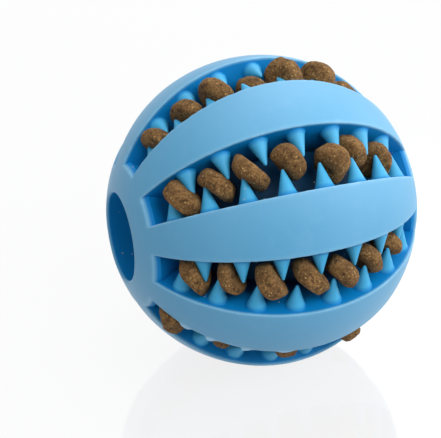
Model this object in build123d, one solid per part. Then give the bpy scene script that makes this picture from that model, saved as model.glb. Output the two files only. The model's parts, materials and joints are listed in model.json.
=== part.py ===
from build123d import *
import math
import os

# A moulded rubber treat ball: eight meridian slots with two rows of pointed teeth in each, and a baked
# treat gripped in every wide gap between an upper and a lower tooth. Millimetres, ball centre at the
# origin, the through bore along X, +Z up. Polar angles are counted from the -X pole, and a turn about X
# is counted from -Y towards +Z.

# Ball
ball_diameter = 70.0
bore_diameter = 19.6
bore_rim_radius = 0.6

# Slots, each ending a web's thickness short of the bore
slot_count = 8
first_slot_turn = 90.0
slot_width = 13.9
slot_depth = 11.0
slot_end_web = 1.9
slot_end_bevel = 1.2

# Teeth: the tips stop a gap short of the slot's middle, and the room past a row's ends is a share of the pitch
tooth_base_diameter = 4.7
tooth_tip_gap = 0.83
tooth_tip_radius = 0.4
tooth_axis_depth = 3.1
tooth_root = 0.5
lower_tooth_count = 8
lower_row_middle_polar = 88.6
upper_tooth_count = 7
upper_row_middle_polar = 90.5
row_end_share = 0.22

# Treats
treat_diameter = 8.8
treat_lean = 28.0
treat_proud = 0.6
treat_clearance = 0.15
treat_rim_share = 0.4
treat_size_shares = (1.0, 0.94, 1.0, 0.9, 1.0, 0.96, 0.92)
treat_proud_shares = (0.3, 1.0, 0.5, 0.8, 0.2, 0.7, 0.0)
treat_shift_per_slot = 3

# One overrun serves every cut
cut_overrun = 1.0

ball_radius = ball_diameter / 2
bore_radius = bore_diameter / 2
bore_wall_length = 2 * math.sqrt((ball_radius - bore_rim_radius) ** 2 - (bore_radius + bore_rim_radius) ** 2)
slot_floor_radius = ball_radius - slot_depth
half_slot = math.degrees(math.asin(slot_width / 2 / ball_radius))
slot_end_polar = math.degrees(math.asin((bore_radius + slot_end_web) / slot_floor_radius))
tooth_pitch_polar = (180 - 2 * slot_end_polar) / (lower_tooth_count + row_end_share)
tooth_base_radius = tooth_base_diameter / 2
tooth_axis_radius = ball_radius - tooth_axis_depth
tooth_height = tooth_axis_radius * math.sin(math.radians(half_slot)) - tooth_tip_gap
tooth_nose_height = tooth_height - tooth_tip_radius
tooth_half_angle = (
    math.acos(tooth_tip_radius / math.hypot(tooth_base_radius, tooth_nose_height))
    - math.atan2(tooth_nose_height, tooth_base_radius)
)


# Unit vector from the ball's centre
def outward(polar, turn):
    polar, turn = math.radians(polar), math.radians(turn)
    ring = math.sin(polar)
    return Vector(-math.cos(polar), -ring * math.cos(turn), ring * math.sin(turn))


# Unit vector along a meridian, away from the -X pole
def along(polar, turn):
    return outward(polar + 90, turn)


# Unit vector across a meridian, towards greater turns
def across(turn):
    turn = math.radians(turn)
    return Vector(0, math.sin(turn), math.cos(turn))


def slot_turn(slot):
    return first_slot_turn - slot * 360 / slot_count


def row_polars(count, middle):
    return [middle + tooth_pitch_polar * (i - (count - 1) / 2) for i in range(count)]


# Base centre and axis of each tooth of a row: lower teeth point to greater turns, upper ones to lesser
def lower_row(turn):
    wall = turn - half_slot
    return [(outward(p, wall) * tooth_axis_radius, across(wall))
            for p in row_polars(lower_tooth_count, lower_row_middle_polar)]


def upper_row(turn):
    wall = turn + half_slot
    return [(outward(p, wall) * tooth_axis_radius, across(wall) * -1)
            for p in row_polars(upper_tooth_count, upper_row_middle_polar)]


# A pointed tooth on Z: a cone that runs on into the wall, and a round nose that meets it smoothly
def make_tooth():
    nose = tooth_tip_radius
    nose_start = (nose * math.cos(tooth_half_angle), tooth_nose_height + nose * math.sin(tooth_half_angle))
    nose_middle_angle = tooth_half_angle / 2 + math.pi / 4
    nose_middle = (nose * math.cos(nose_middle_angle), tooth_nose_height + nose * math.sin(nose_middle_angle))
    root_radius = tooth_base_radius + tooth_root * math.tan(tooth_half_angle)
    profile = [
        Line((0, -tooth_root), (root_radius, -tooth_root)),
        Line((root_radius, -tooth_root), nose_start),
        ThreePointArc(nose_start, nose_middle, (0, tooth_height)),
        Line((0, tooth_height), (0, -tooth_root)),
    ]
    return revolve(Plane.XZ * make_face(profile), Axis.Z)


# Mirror image of a point in the ball's middle plane
def mirrored(point):
    return Vector(-point.X, point.Y, point.Z)


# The bored ball, from its meridian section: a straight bore wall, round rims and the sphere
def make_blank():
    rim = bore_rim_radius
    rim_centre = Vector(-bore_wall_length / 2, -bore_radius - rim, 0)
    rim_way = rim_centre.normalized()
    wall_end = Vector(-bore_wall_length / 2, -bore_radius, 0)
    rim_end = rim_way * ball_radius
    rim_middle = rim_centre + (wall_end + rim_end - rim_centre * 2).normalized() * rim
    section = [
        Line(mirrored(wall_end), wall_end),
        ThreePointArc(wall_end, rim_middle, rim_end),
        ThreePointArc(rim_end, outward(90, 0) * ball_radius, mirrored(rim_end)),
        ThreePointArc(mirrored(rim_end), mirrored(rim_middle), mirrored(wall_end)),
    ]
    return revolve(make_face(section), Axis.X)


# The space of one slot about turn 0: a meridian section swept about X, with bevelled lips at both ends
def make_slot():
    lip_polar = slot_end_polar - math.degrees(slot_end_bevel / ball_radius)
    floor_end = outward(slot_end_polar, 0) * slot_floor_radius
    wall_end = outward(slot_end_polar, 0) * (ball_radius - slot_end_bevel)
    lip_end = outward(lip_polar, 0) * ball_radius
    mouth_end = lip_end + (lip_end - wall_end).normalized() * cut_overrun
    mouth_radius = mouth_end.length
    section = [
        ThreePointArc(mirrored(floor_end), outward(90, 0) * slot_floor_radius, floor_end),
        Line(floor_end, wall_end),
        Line(wall_end, mouth_end),
        ThreePointArc(mouth_end, outward(90, 0) * mouth_radius, mirrored(mouth_end)),
        Line(mirrored(mouth_end), mirrored(wall_end)),
        Line(mirrored(wall_end), mirrored(floor_end)),
    ]
    return Rot(-half_slot, 0, 0) * revolve(make_face(section), Axis.X, 2 * half_slot)


# The ball: bored through, with the slots cut and the teeth left standing on the slot walls
def make_ball():
    tooth = make_tooth()
    teeth = [Plane(base, z_dir=axis).location * tooth for base, axis in lower_row(0) + upper_row(0)]
    space = make_slot() - teeth
    return make_blank() - [Rot(-slot_turn(slot), 0, 0) * space for slot in range(slot_count)]


# How far a tooth reaches along a direction
def tooth_reach(base, axis, direction):
    lean = axis.dot(direction)
    base_reach = base.dot(direction) + tooth_base_radius * math.sqrt(1 - lean ** 2)
    nose_reach = (base + axis * tooth_nose_height).dot(direction) + tooth_tip_radius
    return max(base_reach, nose_reach)


# A round baked disc on Z with domed faces and a round rim
def make_treat(diameter, thickness):
    rim = thickness * treat_rim_share
    rim_centre = diameter / 2 - rim
    dome = (rim_centre ** 2 + (thickness / 2) ** 2 - rim ** 2) / (thickness - 2 * rim)
    rise = dome - thickness / 2
    scale = rim / (dome - rim)
    edge = (rim_centre * (1 + scale), rise * scale)
    below = (edge[0], -edge[1])
    profile = [
        RadiusArc((0, thickness / 2), edge, dome),
        ThreePointArc(edge, (diameter / 2, 0), below),
        RadiusArc(below, (0, -thickness / 2), dome),
        Line((0, -thickness / 2), (0, thickness / 2)),
    ]
    return revolve(Plane.XZ * make_face(profile), Axis.Z)


# A treat in its gap: it leans with the teeth's flanks, fills the gap but for the clearance, is no wider
# than the slot walls and floor allow, and stands a little proud of the ball
def place_treat(slot, place):
    turn = slot_turn(slot)
    lower = lower_row(turn)[place]
    upper = upper_row(turn)[place]
    polars = (
        row_polars(lower_tooth_count, lower_row_middle_polar)[place],
        row_polars(upper_tooth_count, upper_row_middle_polar)[place],
    )
    polar = sum(polars) / 2
    way_out = outward(polar, turn)
    lean = math.radians(treat_lean)
    normal = along(polar, turn) * math.cos(lean) + across(turn) * math.sin(lean)
    gap_start = tooth_reach(*lower, normal)
    gap_end = -tooth_reach(*upper, normal * -1)
    thickness = gap_end - gap_start - 2 * treat_clearance
    variant = (place + slot * treat_shift_per_slot) % upper_tooth_count
    proud = treat_proud * treat_proud_shares[variant]
    wall_rise = math.sin(math.radians(polar)) * math.sin(math.radians(half_slot))
    room = 2 * ((ball_radius + proud) * wall_rise - treat_clearance) / (1 + wall_rise)
    diameter = min(treat_diameter, slot_depth + proud - treat_clearance, room) * treat_size_shares[variant]
    centre = way_out * (ball_radius + proud - diameter / 2)
    centre += normal * ((gap_start + gap_end) / 2 - centre.dot(normal))
    return Plane(centre, x_dir=way_out, z_dir=normal).location * make_treat(diameter, thickness)


os.makedirs("parts", exist_ok=True)
export_step(make_ball(), "parts/ball_body.step")
for slot in range(slot_count):
    for place in range(upper_tooth_count):
        export_step(place_treat(slot, place), f"parts/treat_slot_{slot + 1}_place_{place + 1}.step")
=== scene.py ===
import json
import math
import random

import bmesh
import bpy
from mathutils import Matrix, Vector, noise


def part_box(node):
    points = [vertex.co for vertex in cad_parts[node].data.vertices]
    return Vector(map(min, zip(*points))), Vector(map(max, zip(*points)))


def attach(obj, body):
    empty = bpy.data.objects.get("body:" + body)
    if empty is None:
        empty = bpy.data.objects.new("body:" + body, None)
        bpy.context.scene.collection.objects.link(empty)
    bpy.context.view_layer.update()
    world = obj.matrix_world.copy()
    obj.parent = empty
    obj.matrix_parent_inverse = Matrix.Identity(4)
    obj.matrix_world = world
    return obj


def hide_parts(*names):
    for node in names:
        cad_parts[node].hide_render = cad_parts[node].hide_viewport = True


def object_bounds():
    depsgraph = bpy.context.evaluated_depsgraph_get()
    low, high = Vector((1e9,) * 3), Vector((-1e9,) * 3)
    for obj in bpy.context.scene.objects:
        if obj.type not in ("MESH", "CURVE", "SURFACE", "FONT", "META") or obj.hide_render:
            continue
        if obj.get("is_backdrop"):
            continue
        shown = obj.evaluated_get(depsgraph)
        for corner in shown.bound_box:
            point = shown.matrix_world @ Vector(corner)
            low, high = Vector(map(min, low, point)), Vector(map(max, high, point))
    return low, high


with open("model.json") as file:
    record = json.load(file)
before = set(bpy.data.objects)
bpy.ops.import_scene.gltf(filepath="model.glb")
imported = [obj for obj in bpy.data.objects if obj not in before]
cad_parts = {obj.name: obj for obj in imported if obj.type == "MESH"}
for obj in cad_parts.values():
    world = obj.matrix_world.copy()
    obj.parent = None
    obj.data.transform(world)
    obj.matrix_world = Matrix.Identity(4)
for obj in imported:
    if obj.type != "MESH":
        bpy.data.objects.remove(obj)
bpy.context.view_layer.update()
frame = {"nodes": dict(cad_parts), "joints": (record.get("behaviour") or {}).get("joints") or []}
print("frame loaded:", len(frame["nodes"]), "CAD nodes")

mm = 0.001    # shapes are modelled in millimetres and scaled once at the end
weld = 0.001    # points nearer than this, in millimetres, count as one


# shader sums as Python expressions
class Wire:
    def __init__(self, paint, socket):
        self.paint = paint
        self.socket = socket

    def __add__(self, other):
        return self.paint.sum("ADD", self, other)

    def __radd__(self, other):
        return self.paint.sum("ADD", other, self)

    def __sub__(self, other):
        return self.paint.sum("SUBTRACT", self, other)

    def __rsub__(self, other):
        return self.paint.sum("SUBTRACT", other, self)

    def __mul__(self, other):
        return self.paint.sum("MULTIPLY", self, other)

    def __rmul__(self, other):
        return self.paint.sum("MULTIPLY", other, self)


# one node tree, and the only way that nodes are added to it
class Paint:
    def __init__(self, tree):
        self.tree = tree
        self.tree.nodes.clear()

    def node(self, kind, settings=None, inputs=None, out=0):
        made = self.tree.nodes.new("ShaderNode" + kind)
        for key, value in (settings or {}).items():
            setattr(made, key, value)
        for key, value in (inputs or {}).items():
            if isinstance(value, Wire):
                self.tree.links.new(value.socket, made.inputs[key])
            else:
                made.inputs[key].default_value = value
        return Wire(self, made.outputs[out]) if made.outputs else None

    def sum(self, operation, first, second=0.0):
        return self.node("Math", {"operation": operation}, {0: first, 1: second})

    def blend(self, amount, first, second):    # by the Mix node's colour sockets
        return self.node("Mix", {"data_type": "RGBA"}, {0: amount, 6: first, 7: second}, out=2)

    def between(self, value, low, high):
        return self.node("MapRange", {"clamp": True}, {"Value": value, "From Min": low, "From Max": high})

    def clouds(self, place, scale, detail, roughness):
        return self.node("TexNoise", None, {
            "Vector": place, "Scale": scale, "Detail": detail, "Roughness": roughness,
        })

    def cells(self, place, scale):
        return self.node("TexVoronoi", {"feature": "F1"}, {"Vector": place, "Scale": scale})

    def distance(self, place):
        return self.node("VectorMath", {"operation": "LENGTH"}, {0: place}, out="Value")


def newPaint(name):
    material = bpy.data.materials.new(name)
    material.use_nodes = True
    return material, Paint(material.node_tree)


def grey(value):
    return (value, value, value, 1.0)


# the ball, as in the CAD model, with soft lips, rounded tooth roots and the mould's marks; millimetres and
# degrees
ballSizes = {
    "radius": 35.0, "bore": 9.8, "rim": 0.6,
    "slots": 8, "firstTurn": 90.0, "slotWidth": 13.9, "slotDepth": 11.0, "web": 1.9, "endBevel": 1.2,
    # teeth: each cone rises from a rounded root, which flares out to the base and runs on into the wall
    "toothBase": 2.35, "flare": 0.23, "flareHeight": 0.35, "toothRoot": 0.5,
    "tipGap": 0.83, "tip": 0.4, "toothDepth": 3.1, "ridge": 0.022, "ringCrowding": 1.15,
    "lowerTeeth": 8, "lowerMiddle": 88.6, "upperTeeth": 7, "upperMiddle": 90.5, "rowEnd": 0.22,
    "boreSteps": 8, "rimSteps": 6, "capSteps": 6, "bevelSteps": 2, "endSteps": 5, "arcSteps": 48,
    "slotSteps": 12, "bandSteps": 6, "toothSides": 16, "toothRings": 18, "noseSteps": 3,
    # lips: rounding, the least fold of their edges, and the share of pale wear and painted highlight at
    # their borders
    "lip": 0.34, "lipSegments": 3, "lipFold": 34.0, "lipBorder": 0.35,
    "sharpFrom": 38.0,    # the shading breaks where faces fold by more
    # nicks: reach, and the scale and share of each noise
    "nick": 0.14, "nickNoise": ((0.8, 0.6), (2.1, 0.4)),
    # torn mould flash on upper lips: slot, polar angle, half width in degrees, reach
    "flash": ((4, 43.0, 2.0, 1.8), (4, 53.0, 1.6, 2.2), (4, 66.0, 1.6, 1.7), (4, 80.0, 2.4, 1.1),
              (7, 61.0, 1.8, 1.6), (7, 97.0, 2.4, 1.1), (6, 120.0, 1.8, 1.4)),
    "flashTurn": 2.0, "flashEven": 0.75, "flashRagged": 0.8,
}

# moulded rubber, satin: a pale bloom on the outer skin, lips worn paler and paled further as a painted
# highlight, painted shade in the slots (darker walls and ends, darkest floors), and crumb dust in the slots
rubberLook = {
    "skin": (0.078, 0.305, 0.510, 1.0),
    "cloud": (0.089, 0.317, 0.525, 1.0),
    "bloom": (0.130, 0.340, 0.545, 1.0),
    # edge: lips worn paler, and paled further as a painted highlight along them
    "edge": (0.300, 0.570, 0.780, 1.0),
    "tooth": (0.040, 0.345, 0.610, 1.0),
    # painted shade: the slot walls and ends get a darker blue than the teeth
    "wall": (0.001, 0.190, 0.500, 1.0),
    # painted shade: the slot floors get the darkest blue of all
    "floorShade": (0.001, 0.042, 0.105, 1.0),
    "dust": (0.500, 0.480, 0.330, 1.0),
    # scale, detail and roughness of each noise, and the levels from none to full
    "cloudNoise": (55.0, 4.0, 0.5), "markNoise": (260.0, 5.0, 0.6), "grainNoise": (2600.0, 3.0, 0.5),
    "speckScale": 520.0,
    "cloudy": (0.35, 0.65), "worn": (0.52, 0.75), "specked": (0.13, 0.07), "dusty": (0.50, 0.56),
    # depths of the outer skin, heights over the slot floors, turns of the walls and X shares of the ends
    "skinDepths": (0.8, 0.3), "floorHeights": (5.0, 1.0),
    "wallTurns": (9.6, 11.3), "endShares": (0.845, 0.870),
    "bloomShare": 0.35, "edgeShare": 0.30, "edgeWorn": 0.4, "dustShare": 0.6,
    "roughness": 0.48, "cloudRough": 0.05, "wornRough": 0.08, "dustRough": 0.2,
    "skinCoat": 0.8, "toothCoat": 0.5, "coatRoughness": 0.55, "specular": 0.14,
    "grainRelief": 0.6, "markRelief": 0.4, "bump": 0.12, "bumpHeight": 0.0001,
}


def mixRubber(look, sizes):
    material, paint = newPaint("satinBlueRubber")
    place = paint.node("TexCoord", out="Object")
    wearAndHighlight = paint.node("Attribute", {"attribute_name": "wearAndHighlight"}, out="Fac")
    x, y, z = (paint.node("SeparateXYZ", None, {0: place}, out=axis) for axis in "XYZ")
    radius = paint.distance(place)
    clouds = paint.clouds(place, *look["cloudNoise"])
    marks = paint.clouds(place, *look["markNoise"])
    grain = paint.clouds(place, *look["grainNoise"])
    specks = paint.cells(place, look["speckScale"])
    cloudy = paint.between(clouds, *look["cloudy"])
    worn = paint.between(marks, *look["worn"])
    # where on the ball: outer skin, slot walls by their turn about X, slot ends by their polar angle, floors
    floorRadius = sizes["radius"] - sizes["slotDepth"]
    outside = paint.between(radius, *((sizes["radius"] - depth) * mm for depth in look["skinDepths"]))
    onFloor = paint.between(radius, *((floorRadius + height) * mm for height in look["floorHeights"]))
    turn = paint.sum("ARCTAN2", z, y * -1.0)
    fromSlot = paint.sum("PINGPONG", turn, math.pi / sizes["slots"])
    onWall = paint.between(fromSlot, *(math.radians(degrees) for degrees in look["wallTurns"]))
    onEnd = paint.between(paint.sum("DIVIDE", paint.sum("ABSOLUTE", x), radius), *look["endShares"])
    pocket = paint.sum("MAXIMUM", onWall, onEnd)
    colour = paint.blend(cloudy, look["skin"], look["cloud"])
    colour = paint.blend(worn * look["bloomShare"], colour, look["bloom"])
    # the lip mask blends in the pale edge colour: partly wear, partly a painted highlight along the lips
    colour = paint.blend(wearAndHighlight * (look["edgeShare"] + worn * look["edgeWorn"]), colour, look["edge"])
    # painted shade: slot walls and ends darker than the teeth, and floors darker still, for the shade that
    # falls in the slots
    inner = paint.blend(pocket, look["tooth"], look["wall"])
    inner = paint.blend(onFloor, inner, look["floorShade"])
    colour = paint.blend(outside, inner, colour)
    onTooth = (1.0 - outside) * (1.0 - pocket) * (1.0 - onFloor)
    polish = outside * look["skinCoat"] + onTooth * look["toothCoat"]    # the recesses stay matt
    dust = paint.between(specks, *look["specked"]) * paint.between(marks, *look["dusty"]) * (1.0 - outside)
    colour = paint.blend(dust * look["dustShare"], colour, look["dust"])
    roughness = look["roughness"] + (cloudy - 0.5) * look["cloudRough"]
    roughness = roughness + worn * look["wornRough"] + dust * look["dustRough"]
    relief = grain * look["grainRelief"] + marks * look["markRelief"] + dust
    bump = paint.node("Bump", None, {
        "Strength": look["bump"], "Distance": look["bumpHeight"], "Height": relief,
    })
    shader = paint.node("BsdfPrincipled", None, {
        "Base Color": colour, "Roughness": roughness, "Normal": bump, "Specular IOR Level": look["specular"],
        "Coat Weight": polish, "Coat Roughness": look["coatRoughness"],
    })
    paint.node("OutputMaterial", None, {"Surface": shader})
    return material


# polar is counted from the -X pole, and a turn about X from -Y towards +Z, both in degrees
def outward(polar, turn):
    polar, turn = math.radians(polar), math.radians(turn)
    return Vector((-math.cos(polar), -math.sin(polar) * math.cos(turn), math.sin(polar) * math.sin(turn)))


def across(turn):
    return Vector((0.0, math.sin(math.radians(turn)), math.cos(math.radians(turn))))


def polarOf(point):
    return math.degrees(math.acos(-point.x / point.length))


def turnOf(point):
    return math.degrees(math.atan2(point.z, -point.y))


def turnBetween(turn, other):
    return (turn - other + 180.0) % 360.0 - 180.0


def slotTurn(slot):
    return ballSizes["firstTurn"] - (slot - 1) * 360.0 / ballSizes["slots"]


# each edge once and in a fixed order, so that every run gives the same points
def edgesOf(verts):
    return list(dict.fromkeys(edge for vert in verts for edge in vert.link_edges))


# draws a profile: lines by extruding its tip, arcs by turning it about Z
class Pen:
    def __init__(self, bm, start):
        self.bm = bm
        self.tip = bm.verts.new(start)
        self.verts = [self.tip]

    def line(self, end, parts=1):
        start = self.tip.co.copy()
        for part in range(1, parts + 1):
            grown = bmesh.ops.extrude_vert_indiv(self.bm, verts=[self.tip])
            self.tip = grown["verts"][0]
            self.tip.co = start.lerp(Vector(end), part / parts)
            self.verts.append(self.tip)

    def arc(self, centre, degrees, parts):
        for part in range(parts):
            grown = bmesh.ops.extrude_vert_indiv(self.bm, verts=[self.tip])
            self.tip = grown["verts"][0]
            turn = Matrix.Rotation(math.radians(degrees / parts), 3, "Z")
            bmesh.ops.rotate(self.bm, cent=centre, matrix=turn, verts=[self.tip])
            self.verts.append(self.tip)


# the angles and lengths that the slots and teeth share
def measureMould(sizes):
    radius = sizes["radius"]
    half = math.degrees(math.asin(sizes["slotWidth"] / 2 / radius))
    endPolar = math.degrees(math.asin((sizes["bore"] + sizes["web"]) / (radius - sizes["slotDepth"])))
    axisRadius = radius - sizes["toothDepth"]
    height = axisRadius * math.sin(math.radians(half)) - sizes["tipGap"]
    cone = sizes["toothBase"] - sizes["flare"]
    taper = math.acos(sizes["tip"] / math.hypot(cone, height - sizes["tip"]))
    taper -= math.atan2(height - sizes["tip"], cone)
    return {
        "half": half, "endPolar": endPolar, "axisRadius": axisRadius,
        "height": height, "cone": cone, "taper": taper,
        "pitch": (180.0 - 2 * endPolar) / (sizes["lowerTeeth"] + sizes["rowEnd"]),
    }


mould = measureMould(ballSizes)


# where the teeth of a slot stand and point: the lower row, then the upper one
def toothRows(sizes, turn):
    rows = []
    for count, middle, way in (
        (sizes["lowerTeeth"], sizes["lowerMiddle"], 1), (sizes["upperTeeth"], sizes["upperMiddle"], -1),
    ):
        wall = turn - way * mould["half"]
        polars = [middle + mould["pitch"] * (tooth - (count - 1) / 2) for tooth in range(count)]
        rows.append([(outward(polar, wall) * mould["axisRadius"], across(wall) * way) for polar in polars])
    return rows


def drawHalfMeridian(bm, sizes, slotted):
    radius, bore, rim = sizes["radius"], sizes["bore"], sizes["rim"]
    middle = (0.0, 0.0, 0.0)
    wallEnd = math.sqrt((radius - rim) ** 2 - (bore + rim) ** 2)
    rimPolar = math.degrees(math.atan2(bore + rim, wallEnd))
    endPolar = mould["endPolar"]
    lipPolar = endPolar - math.degrees(sizes["endBevel"] / radius)
    pen = Pen(bm, (0.0, -bore, 0.0))
    pen.line((-wallEnd, -bore, 0.0), sizes["boreSteps"])
    pen.arc((-wallEnd, -bore - rim, 0.0), 90.0 + rimPolar, sizes["rimSteps"])
    pen.arc(middle, lipPolar - rimPolar, sizes["capSteps"])
    if slotted:
        pen.line(outward(endPolar, 0.0) * (radius - sizes["endBevel"]), sizes["bevelSteps"])
        pen.line(outward(endPolar, 0.0) * (radius - sizes["slotDepth"]), sizes["endSteps"])
        pen.arc(middle, 90.0 - endPolar, sizes["arcSteps"] // 2)
    else:
        pen.arc(middle, 90.0 - lipPolar, sizes["arcSteps"])
    return pen


def sweepSkin(bm, sizes, slotted, fromTurn, toTurn, steps):
    pen = drawHalfMeridian(bm, sizes, slotted)
    half = pen.verts + edgesOf(pen.verts)
    other = bmesh.ops.mirror(bm, geom=half, axis="X", merge_dist=weld / 10)["geom"]
    verts = [g for g in dict.fromkeys(half + other) if g.is_valid and isinstance(g, bmesh.types.BMVert)]
    about = Matrix.Rotation(-math.radians(fromTurn), 3, "X")
    bmesh.ops.rotate(bm, cent=(0, 0, 0), matrix=about, verts=verts)
    bmesh.ops.spin(bm, geom=verts + edgesOf(verts), cent=(0, 0, 0), axis=(-1, 0, 0),
                   angle=math.radians(toTurn - fromTurn), steps=steps)


def toothGirth(sizes, level):
    root = sizes["flare"] * math.exp(-level / sizes["flareHeight"])
    return mould["cone"] - level * math.tan(mould["taper"]) + root


def raiseTooth(bm, sizes, base, axis):
    noseCentre = mould["height"] - sizes["tip"]
    noseStart = noseCentre + sizes["tip"] * math.sin(mould["taper"])
    rings = sizes["toothRings"]
    pen = Pen(bm, (toothGirth(sizes, 0.0), 0.0, 0.0))
    for ring in range(1, rings + 1):
        level = noseStart * (ring / rings) ** sizes["ringCrowding"]
        groove = sizes["ridge"] * (-1) ** ring if ring < rings else 0.0
        pen.line((toothGirth(sizes, level) + groove, level, 0.0))
    pen.arc((0.0, noseCentre, 0.0), 90.0 - math.degrees(mould["taper"]), sizes["noseSteps"])
    bmesh.ops.spin(bm, geom=pen.verts + edgesOf(pen.verts), cent=(0, 0, 0), axis=(0, 1, 0),
                   angle=math.tau, steps=sizes["toothSides"], use_merge=True)
    skin = list(pen.verts)
    known = set(skin)
    for vert in skin:    # grows as it goes, to all that hangs together
        for edge in vert.link_edges:
            other = edge.other_vert(vert)
            if other not in known:
                known.add(other)
                skin.append(other)
    side = base.normalized()
    place = Matrix((side, axis, side.cross(axis))).transposed().to_4x4()
    place.translation = base
    bmesh.ops.transform(bm, matrix=place, verts=skin)
    bmesh.ops.remove_doubles(bm, verts=skin, dist=weld)


def fillWall(bm, turn):
    normal = across(turn)
    rim = [e for e in bm.edges if e.is_boundary and all(abs(v.co.dot(normal)) < weld for v in e.verts)]
    bmesh.ops.triangle_fill(bm, use_beauty=True, edges=rim, normal=normal)


def findLips(bm, sizes):
    lips = []
    for edge in bm.edges:
        rim = all(abs(v.co.length - sizes["radius"]) < weld for v in edge.verts)
        folded = len(edge.link_faces) == 2 and edge.calc_face_angle() > math.radians(sizes["lipFold"])
        if rim and folded:
            lips.append(edge)
    return lips


# nicked lips, and the torn flash that reaches from an upper lip into its slot
def wearLips(bm, sizes, wearAndHighlight):
    for vert in bm.verts:
        if vert[wearAndHighlight] == 0.0:
            continue
        polar, turn = polarOf(vert.co), turnOf(vert.co)
        sideways = across(turn)
        ragged = sum(noise.noise(vert.co * scale) * share for scale, share in sizes["nickNoise"])
        for slot, middle, width, reach in sizes["flash"]:
            lipTurn = slotTurn(slot) + mould["half"]
            if abs(turnBetween(turn, lipTurn)) < sizes["flashTurn"]:
                torn = reach * math.exp(-((polar - middle) / width) ** 4)
                uneven = sizes["flashEven"] + ragged * sizes["flashRagged"]
                vert.co -= sideways * torn * uneven * vert[wearAndHighlight]
                vert[wearAndHighlight] += torn
        sunk = vert.co.normalized() * min(ragged, 0.0)
        vert.co += (sideways * ragged + sunk) * sizes["nick"] * vert[wearAndHighlight]


def mouldBall(sizes):
    bm = bmesh.new()
    wearAndHighlight = bm.verts.layers.float.new("wearAndHighlight")
    half = mould["half"]
    share = 180.0 / sizes["slots"]
    # one slot and half a band on each side of it, about turn 0
    sweepSkin(bm, sizes, True, -half, half, sizes["slotSteps"])
    sweepSkin(bm, sizes, False, half, share, sizes["bandSteps"])
    sweepSkin(bm, sizes, False, -share, -half, sizes["bandSteps"])
    for row in toothRows(sizes, 0.0):
        for base, axis in row:
            raiseTooth(bm, sizes, base, axis)
    bmesh.ops.remove_doubles(bm, verts=bm.verts, dist=weld)
    for wall in (-half, half):
        fillWall(bm, wall)
    bmesh.ops.recalc_face_normals(bm, faces=bm.faces)
    rounded = bmesh.ops.bevel(bm, geom=findLips(bm, sizes), offset=sizes["lip"], offset_type="OFFSET",
                              affect="EDGES", segments=sizes["lipSegments"], profile=0.5, material=-1,
                              clamp_overlap=True)
    lipVerts = set(rounded["verts"])
    # the lip mask: full on the rounding and less at its borders; it scales the nicks and the lips' pale wear
    # and painted highlight
    for vert in lipVerts:
        inner = all(edge.other_vert(vert) in lipVerts for edge in vert.link_edges)
        vert[wearAndHighlight] = 1.0 if inner else sizes["lipBorder"]
    # then the same all round
    first = Matrix.Rotation(-math.radians(sizes["firstTurn"]), 3, "X")
    bmesh.ops.rotate(bm, cent=(0, 0, 0), matrix=first, verts=bm.verts)
    bmesh.ops.spin(bm, geom=bm.verts[:] + bm.edges[:] + bm.faces[:], cent=(0, 0, 0), axis=(1, 0, 0),
                   angle=math.tau * (1 - 1 / sizes["slots"]), steps=sizes["slots"] - 1, use_duplicate=True)
    bmesh.ops.remove_doubles(bm, verts=bm.verts, dist=weld * 2)
    bmesh.ops.recalc_face_normals(bm, faces=bm.faces)
    wearLips(bm, sizes, wearAndHighlight)
    bmesh.ops.scale(bm, vec=(mm, mm, mm), verts=bm.verts)
    return bm


def addPiece(name, bm, material, body, node):
    mesh = bpy.data.meshes.new(name)
    bm.to_mesh(mesh)
    bm.free()
    mesh.materials.append(material)
    mesh.shade_smooth()
    piece = bpy.data.objects.new(name, mesh)
    bpy.context.scene.collection.objects.link(piece)
    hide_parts(node)
    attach(piece, body)
    return piece


rubber = mixRubber(rubberLook, ballSizes)
ball = addPiece("rubber_ball", mouldBall(ballSizes), rubber, "ball", "ball_body")
ball.data.set_sharp_from_angle(angle=math.radians(ballSizes["sharpFrom"]))
evenShading = ball.modifiers.new("evenShading", "WEIGHTED_NORMAL")
evenShading.keep_sharp = True
print("ball moulded")


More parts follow.
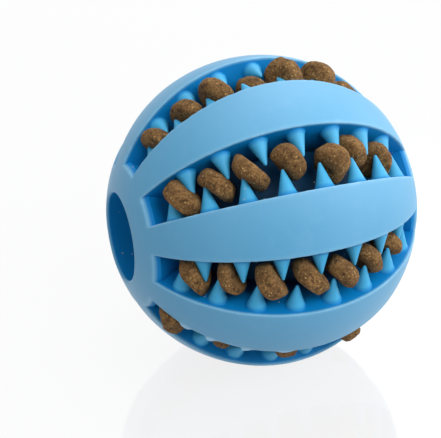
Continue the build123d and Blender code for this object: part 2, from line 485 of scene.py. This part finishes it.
# thick baked treats, lumpy and bent, each squeezed between its teeth where its CAD disc stands
treatSizes = {
    "seed": 7, "subdivisions": 4, "clear": 0.06, "endGap": 0.3, "overhang": 1.0,
    "fullness": 3.1, "fullnessSpread": (0.85, 1.2), "taper": 0.12,
    "noiseShift": 50.0, "lump": 0.42, "lumpScale": 0.28,
    "grain": 0.10, "grainScale": 1.7, "fineShare": 0.6, "fineScale": 3.1, "crustReach": 1.3,
    "pit": 0.66, "pitScale": 0.95, "pitFrom": 0.32,
    "facets": 7, "facetFrom": 0.85, "facetTo": 0.98, "facetCut": 0.8,
    # each place's width, length and thickness as shares of the disc's, lift, bend, slide along the slot,
    # drift to its upper wall, and roll
    "shapes": {
        1: ((1.10, 1.40, 1.80, 0.0, 0.3, 0.0, 0.0, 0), (0.95, 1.20, 1.10, -0.5, 0.2, 0.5, 0.0, 0),
            (1.05, 1.15, 1.10, 0.3, -0.3, -0.2, 0.0, 0), (0.72, 1.15, 1.00, -1.7, 0.0, 0.2, 0.0, 6),
            (1.05, 1.05, 1.05, 1.2, 0.2, -0.7, 0.0, 0), (1.05, 1.05, 1.05, 0.9, 0.0, -0.9, 0.0, 4),
            (1.00, 1.10, 1.40, -0.3, 0.0, -1.0, 0.0, 0)),
        2: ((1.12, 1.30, 1.90, 0.3, 0.0, 0.2, -0.6, 4), (1.00, 1.02, 1.25, 0.1, 0.2, -0.3, 0.0, 8),
            (1.00, 1.12, 0.90, 0.2, -0.6, -1.1, 0.2, 9), (1.00, 1.00, 1.10, 0.2, 0.8, -0.4, 0.7, 5),
            (0.98, 0.96, 1.04, 0.5, 0.9, 1.0, -0.8, 0), (0.95, 1.05, 0.95, -0.8, 0.3, -1.0, 1.6, 10),
            (0.90, 0.96, 1.15, -0.4, 0.2, -0.2, 0.0, 0)),
        3: ((1.08, 1.32, 1.75, 0.0, 0.4, 0.2, -0.4, 0), (0.96, 0.98, 1.00, -0.1, -0.7, -0.4, 0.3, 5),
            (0.96, 1.08, 1.02, 0.2, -0.8, -0.1, 0.3, 5), (0.96, 1.14, 0.92, 0.2, 0.0, 0.7, 0.0, 16),
            (0.96, 1.10, 0.92, 0.2, 0.1, 0.0, 0.0, 8), (0.95, 0.96, 0.90, 0.1, 0.7, 0.0, 0.0, 0),
            (0.88, 0.92, 1.10, -0.4, 0.0, -0.1, 0.0, 0)),
        4: ((1.15, 1.40, 1.90, 0.3, 0.0, -3.0, 0.0, 0), (0.95, 1.10, 1.05, -1.5, 0.0, 0.4, 0.0, 0),
            (0.80, 1.00, 1.00, -2.6, 0.0, 0.0, 0.0, 0), (0.95, 1.25, 1.15, -1.1, 0.0, -1.0, 0.0, 0),
            (0.85, 1.05, 0.90, -1.8, 0.0, -0.6, 0.0, 0), (1.05, 1.25, 1.30, 0.1, 0.0, -2.0, 0.0, 0),
            (0.90, 1.10, 1.30, -1.6, 0.0, 0.0, 0.0, 0)),
    },
    # the other slots draw theirs from these spans, in this order
    "spans": {
        "width": (0.95, 1.05), "length": (1.02, 1.18), "thickness": (1.0, 1.15),
        "lift": (-1.0, 0.2), "bend": (-0.7, 0.7), "slide": (-0.5, 0.5), "roll": (-4, 12),
    },
    "sunkSlot": 8, "sunk": 0.7,    # behind the top band no treat stands proud
    "endLength": 1.1, "endThickness": 1.5, "endSunk": 0.4,    # the first and last of a slot fill its ends
}

# baked crust: brown with pale crumbs and dark pits, and painted shade that darkens the low hollows; crust is
# the mesh's own height, -1 to 1
treatLook = {
    "dough": (0.125, 0.060, 0.018, 1.0),
    "crust": (0.240, 0.125, 0.040, 1.0),
    "dark": (0.030, 0.013, 0.004, 1.0),
    "crumb": (0.600, 0.400, 0.150, 1.0),
    # scale, detail and roughness of each noise, and the levels from none to full
    "patchNoise": (420.0, 3.0, 0.5), "grainNoise": (2000.0, 5.0, 0.8), "rareNoise": (800.0, 1.0, 0.5),
    "crumbScale": 1150.0, "pitScale": 620.0,
    "baked": (0.35, 0.65), "grainDark": (0.50, 0.36), "grainPale": (0.55, 0.68), "hollowShade": (-0.2, -0.9),
    "pit": (0.16, 0.07), "pitRare": (0.55, 0.62), "crumbs": (0.30, 0.16), "crumbRare": (0.49, 0.41),
    "darkShare": 0.85, "paleShare": 0.55, "hollowShadeShare": 0.7, "pitShare": 0.85, "crumbShare": 0.6,
    "roughness": 0.85, "crumbSmooth": 0.2, "specular": 0.3,
    "crumbRelief": 0.4, "bump": 0.8, "bumpHeight": 0.00035,
}


def mixTreat(look):
    material, paint = newPaint("bakedTreat")
    place = paint.node("TexCoord", out="Object")
    height = paint.node("Attribute", {"attribute_name": "crust"}, out="Fac")
    patches = paint.clouds(place, *look["patchNoise"])
    grain = paint.clouds(place, *look["grainNoise"])
    crumbs = paint.cells(place, look["crumbScale"])
    pits = paint.cells(place, look["pitScale"])
    rare = paint.clouds(place, *look["rareNoise"])
    colour = paint.blend(paint.between(patches, *look["baked"]), look["dough"], look["crust"])
    colour = paint.blend(paint.between(grain, *look["grainDark"]) * look["darkShare"], colour, look["dark"])
    colour = paint.blend(paint.between(grain, *look["grainPale"]) * look["paleShare"], colour, look["crumb"])
    # painted shade: darker where the mesh's height is low, in its hollows
    colour = paint.blend(paint.between(height, *look["hollowShade"]) * look["hollowShadeShare"], colour, look["dark"])
    pitted = paint.between(pits, *look["pit"]) * paint.between(rare, *look["pitRare"])
    colour = paint.blend(pitted * look["pitShare"], colour, look["dark"])
    crumb = paint.between(crumbs, *look["crumbs"]) * paint.between(rare, *look["crumbRare"])
    colour = paint.blend(crumb * look["crumbShare"], colour, look["crumb"])
    relief = grain + crumb * look["crumbRelief"] - pitted
    bump = paint.node("Bump", None, {
        "Strength": look["bump"], "Distance": look["bumpHeight"], "Height": relief,
    })
    shader = paint.node("BsdfPrincipled", None, {
        "Base Color": colour, "Roughness": look["roughness"] - crumb * look["crumbSmooth"],
        "Normal": bump, "Specular IOR Level": look["specular"],
    })
    paint.node("OutputMaterial", None, {"Surface": shader})
    return material


def readDisc(node):
    low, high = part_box(node)
    centre = (low + high) / 2
    points = [v.co - centre for v in frame["nodes"][node].data.vertices]
    way = next(Vector(j["axis"]) for j in frame["joints"] if j["child"] == node)
    return centre, points, way.normalized()


# the disc's own axis: square to the way out, where the disc reaches least, and away from the -X pole
def thinWay(points, way):
    some = points[::7]    # enough of them to tell
    start = way.orthogonal().normalized()
    best = None
    for step in range(180):
        trial = Matrix.Rotation(math.radians(step), 3, way) @ start
        reach = max(abs(p.dot(trial)) for p in some)
        if best is None or reach < best[0]:
            best = (reach, trial)
    return best[1] if best[1].x > 0.0 else -best[1]


def drawVector(draw, reach):
    return Vector([draw.uniform(-reach, reach) for _ in range(3)])


def chooseShape(sizes, slot, place, draw):
    drawn = [draw.uniform(*span) for span in sizes["spans"].values()]
    width, length, thickness, lift, bend, slide, roll = drawn
    if slot in sizes["shapes"]:
        return sizes["shapes"][slot][place - 1]
    if slot == sizes["sunkSlot"]:
        lift -= sizes["sunk"]
    if place in (1, ballSizes["upperTeeth"]):
        length *= sizes["endLength"]
        thickness *= sizes["endThickness"]
        lift -= sizes["endSunk"]
        slide = roll = 0.0
    return width, length, thickness, lift, bend, slide, 0.0, roll


# flat spots of a broken edge: each cuts a little off one side
def chooseFacets(sizes, half, draw):
    facets = []
    for _ in range(sizes["facets"]):
        normal = drawVector(draw, 1.0).normalized()
        reach = (normal * half).length
        facets.append((normal, reach * draw.uniform(sizes["facetFrom"], sizes["facetTo"])))
    return facets


# a tooth dents the treat: a point inside it slides along the treat's axis until it is out
def dent(point, tooth, push, clear):
    base, axis = tooth
    level = (point - base).dot(axis)
    if level < -ballSizes["toothRoot"] or level > mould["height"] + clear:
        return point
    offset = point - base - axis * level
    girth = max(toothGirth(ballSizes, max(level, 0.0)), ballSizes["tip"]) + clear
    if offset.length >= girth:
        return point
    slide = push - axis * push.dot(axis)
    a, b, c = slide.length_squared, offset.dot(slide), offset.length_squared - girth ** 2
    return point + push * ((math.sqrt(b * b - a * c) - b) / a)


# the slot's walls, ends and floor flatten what reaches past them
def keepInSlot(point, turn, sizes):
    off = turnBetween(turnOf(point), turn)
    most = mould["half"] - math.degrees(sizes["clear"] / max(math.hypot(point.y, point.z), 1.0))
    if abs(off) > most and point.length < ballSizes["radius"] + sizes["overhang"]:
        back = math.copysign(math.radians(abs(off) - most), off)
        point = Matrix.Rotation(back, 3, "X") @ point
    polar = polarOf(point)
    first = mould["endPolar"] + sizes["endGap"]
    held = min(max(polar, first), 180.0 - first)
    if held != polar:
        point = outward(held, turnOf(point)) * point.length
    least = ballSizes["radius"] - ballSizes["slotDepth"] + sizes["clear"]
    return point * (least / point.length) if point.length < least else point


def bakeTreat(node, sizes, draw):
    slot, place = (int(part) for part in node.split("_")[2::2])
    turn = slotTurn(slot)
    centre, points, way = readDisc(node)
    flat = thinWay(points, way)
    side = flat.cross(way)
    width, length, thickness, lift, bend, slide, drift, roll = chooseShape(sizes, slot, place, draw)
    radius = max(abs(p.dot(way)) for p in points) / mm
    wide, long = radius * width, radius * length
    thick = max(abs(p.dot(flat)) for p in points) / mm * thickness
    lower, upper = toothRows(ballSizes, turn)
    teeth = [(lower[place - 1], flat), (upper[place - 1], -flat), (lower[place], -flat)]
    if place > 1:
        teeth.append((upper[place - 2], flat))
    bm = bmesh.new()
    bmesh.ops.create_icosphere(bm, subdivisions=sizes["subdivisions"], radius=1.0)
    crust = bm.verts.layers.float.new("crust")
    shift = drawVector(draw, sizes["noiseShift"])
    power = sizes["fullness"] * draw.uniform(*sizes["fullnessSpread"])
    taper = draw.uniform(-sizes["taper"], sizes["taper"])
    facets = chooseFacets(sizes, Vector((wide, long, thick)), draw)
    stand = Matrix.Rotation(math.radians(roll), 3, way) @ Matrix((way, side, flat)).transposed()
    upSlot = across(turn)
    start = centre / mm + way * lift + upSlot.cross(way) * slide + upSlot * drift
    for vert in bm.verts:
        d = vert.co.normalized()
        ring = math.hypot(d.x, d.y)
        grow = (ring ** power + abs(d.z) ** power) ** (-1 / power)
        p = Vector((d.x * grow * wide, d.y * grow * long, d.z * grow * thick))
        for normal, reach in facets:
            p -= normal * max(0.0, p.dot(normal) - reach) * sizes["facetCut"]
        p.z *= 1.0 + taper * p.y / long
        p.z += bend * (1 / 3 - (p.y / long) ** 2)
        lump = noise.noise(p * sizes["lumpScale"] + shift) * sizes["lump"]
        fine = noise.noise(p * sizes["fineScale"] - shift) * sizes["fineShare"]
        grain = (noise.noise(p * sizes["grainScale"] + shift) + fine) * sizes["grain"]
        hole = max(0.0, noise.noise(p * sizes["pitScale"] - shift) - sizes["pitFrom"]) * sizes["pit"]
        # the height, which the treat's material darkens in the hollows as painted shade
        vert[crust] = max(-1.0, min(1.0, (grain - hole) / (sizes["grain"] * sizes["crustReach"])))
        point = start + stand @ (p + d * (lump + grain - hole))
        for tooth, push in teeth * 2:
            point = dent(point, tooth, push, sizes["clear"])
        vert.co = keepInSlot(point, turn, sizes) * mm
    bmesh.ops.recalc_face_normals(bm, faces=bm.faces)
    return bm


baked = mixTreat(treatLook)
draw = random.Random(treatSizes["seed"])
for node in sorted(n for n in frame["nodes"] if n.startswith("treat_")):
    treat = bakeTreat(node, treatSizes, draw)
    addPiece(node.replace("treat_", "kibble_"), treat, baked, node, node)
print("treats baked")


# floor, light and camera, in metres
stageLook = {
    "floor": (0.58, 0.59, 0.60, 1.0), "floorSize": 6.0, "floorRoughness": 0.7, "floorSpecular": 0.2,
    "floorMirror": 0.5, "mirrorRoughness": 0.08,
    "floorGlow": 0.84, "glowFrom": 0.12, "glowTo": 0.6,    # it turns white further out, so no horizon shows
    "ambient": 0.10, "lampDistance": 0.7,
    # height in degrees above the floor, turn from the front to the right, width and power
    "lamps": (
        ("front", 46.0, 10.0, 0.4, 2.4),
        ("left", 38.0, 305.0, 0.4, 1.0),
        ("lowRight", 26.0, 54.0, 0.4, 2.6),
        ("right", 18.0, 95.0, 0.4, 1.3),
        ("backRight", 40.0, 135.0, 0.5, 0.9),
        ("overheadBack", 65.0, 135.0, 0.5, 2.1),
        ("overheadLeft", 65.0, 225.0, 0.5, 1.0),
    ),
}


# camera rays, and the glossy and transmission rays that should show the same background
def backdropRays(paint):
    camera, glossy, through = (
        paint.node("LightPath", out=f"Is {ray} Ray") for ray in ("Camera", "Glossy", "Transmission")
    )
    return paint.sum("MAXIMUM", paint.sum("MAXIMUM", camera, glossy), through)


def mixFloor(look):
    material, paint = newPaint("paleFloor")
    rays = backdropRays(paint)
    away = paint.distance(paint.node("TexCoord", out="Object"))
    far = paint.between(away, look["glowFrom"], look["glowTo"])
    lit = look["floorGlow"] + far * (1.0 - look["floorGlow"])
    surface = paint.node("BsdfPrincipled", None, {
        "Base Color": look["floor"], "Roughness": look["floorRoughness"],
        "Specular IOR Level": look["floorSpecular"],
    })
    mirror = paint.node("BsdfAnisotropic", None, {"Color": grey(1.0), "Roughness": look["mirrorRoughness"]})
    glow = paint.node("Emission", None, {"Color": grey(1.0), "Strength": 1.0})
    mixed = paint.node("MixShader", None, {0: rays * look["floorMirror"], 1: surface, 2: mirror})
    mixed = paint.node("MixShader", None, {0: rays * lit, 1: mixed, 2: glow})
    paint.node("OutputMaterial", None, {"Surface": mixed})
    return material


def layFloor(look):
    low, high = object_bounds()
    bm = bmesh.new()
    bmesh.ops.create_grid(bm, x_segments=2, y_segments=2, size=look["floorSize"])
    bmesh.ops.translate(bm, vec=(0, 0, low.z), verts=bm.verts)
    mesh = bpy.data.meshes.new("studioFloor")
    bm.to_mesh(mesh)
    bm.free()
    mesh.materials.append(mixFloor(look))
    floor = bpy.data.objects.new("studioFloor", mesh)
    bpy.context.scene.collection.objects.link(floor)
    floor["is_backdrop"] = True


def lightWorld(look):
    world = bpy.data.worlds.new("studio")
    world.use_nodes = True
    bpy.context.scene.world = world
    paint = Paint(world.node_tree)
    strength = look["ambient"] + backdropRays(paint) * (1.0 - look["ambient"])
    sky = paint.node("Background", None, {"Color": grey(1.0), "Strength": strength})
    paint.node("OutputWorld", None, {"Surface": sky})


# a square soft light that looks at the ball
def softbox(name, height, turn, width, power, distance):
    lamp = bpy.data.lights.new(name, "AREA")
    lamp.shape = "SQUARE"
    lamp.size = width
    lamp.energy = power
    place = bpy.data.objects.new(name, lamp)
    height, turn = math.radians(height), math.radians(turn)
    way = Vector((math.cos(height) * math.sin(turn), -math.cos(height) * math.cos(turn), math.sin(height)))
    place.location = way * distance
    place.rotation_euler = (-way).to_track_quat("-Z", "Y").to_euler()
    place.visible_camera = False
    bpy.context.scene.collection.objects.link(place)


layFloor(stageLook)
lightWorld(stageLook)
for lamp in stageLook["lamps"]:
    softbox(*lamp, stageLook["lampDistance"])

# the camera stands where the photo was taken from; picture width and focal length in pixels, degrees
cameraPlace = {
    "picture": 441.0, "focal": 1460.6, "sensor": 36.0, "clip": (0.01, 20.0),
    "place": (-0.110752, -0.269914, 0.155577), "turn": -20.498, "tilt": 61.596, "roll": -0.616,
}


def setCamera(sizes):
    lens = bpy.data.cameras.new("photoLens")
    lens.sensor_fit = "HORIZONTAL"
    lens.sensor_width = sizes["sensor"]
    lens.lens = sizes["sensor"] * sizes["focal"] / sizes["picture"]
    lens.clip_start, lens.clip_end = sizes["clip"]
    turn, tilt, roll = (
        Matrix.Rotation(math.radians(sizes[angle]), 4, axis)
        for angle, axis in (("turn", "Z"), ("tilt", "X"), ("roll", "Z"))
    )
    camera = bpy.data.objects.new("photoCamera", lens)
    camera.matrix_world = Matrix.Translation(sizes["place"]) @ turn @ tilt @ roll
    bpy.context.scene.collection.objects.link(camera)
    bpy.context.scene.camera = camera


setCamera(cameraPlace)
bpy.context.scene.view_settings.view_transform = "Standard"
print("stage set")
